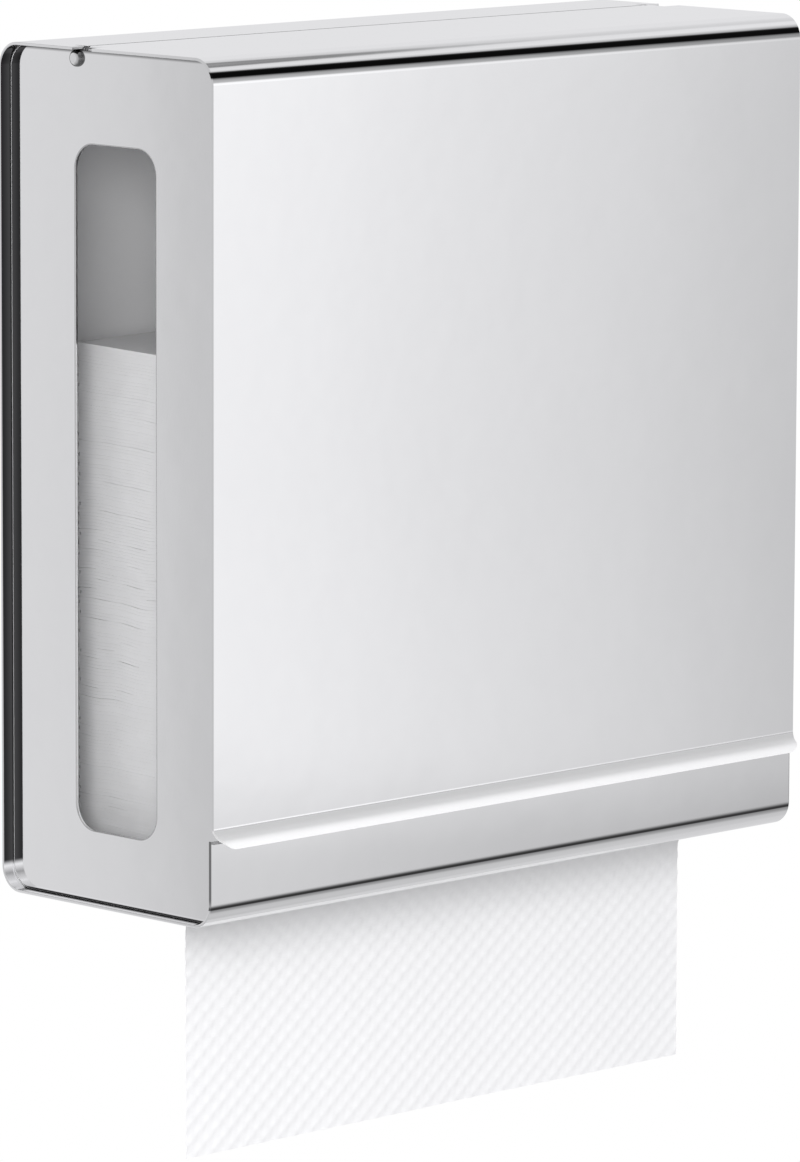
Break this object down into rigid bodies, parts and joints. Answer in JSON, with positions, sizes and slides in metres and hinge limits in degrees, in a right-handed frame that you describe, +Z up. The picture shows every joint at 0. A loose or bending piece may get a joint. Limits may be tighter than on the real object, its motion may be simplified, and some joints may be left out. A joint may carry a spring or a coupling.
{
  "type": "paper towel dispenser",
  "caption": "Wall-mounted sheet steel dispenser for folded paper towels, with a hinged front cover that flares at its foot, recessed side windows and a towel hanging from the slot.",
  "frame": {"origin": "middle of the four wall holes, on the back face of the body", "axes": "+Z up, +Y into the wall, the front cover faces -Y, X across"},
  "size_m": [0.292, 0.1125, 0.3865],
  "materials": {
    "satin_steel": "satin polished",
    "bright_steel": "bright",
    "washer_plastic": "natural",
    "bumper_rubber": "soft, translucent grey",
    "towel_paper": "embossed, matt"
  },
  "bodies": {
    "case": {"body_wrap": "satin_steel", "left_side_panel": "satin_steel", "right_side_panel": "satin_steel", "left_hinge_rivet": "bright_steel", "right_hinge_rivet": "bright_steel", "left_hinge_washer": "washer_plastic", "right_hinge_washer": "washer_plastic", "left_cover_bumper": "bumper_rubber", "right_cover_bumper": "bumper_rubber", "towel_stack": "towel_paper", "hanging_towel": "towel_paper"},
    "cover": {"front_cover": "satin_steel"}
  },
  "joints": [
    {"name": "cover_hinge", "type": "hinge", "parent": "case", "child": "cover", "pos_m": [0, -0.0353, 0.1448], "axis": [-1, 0, 0], "range_deg": [0, 78]}
  ]
}
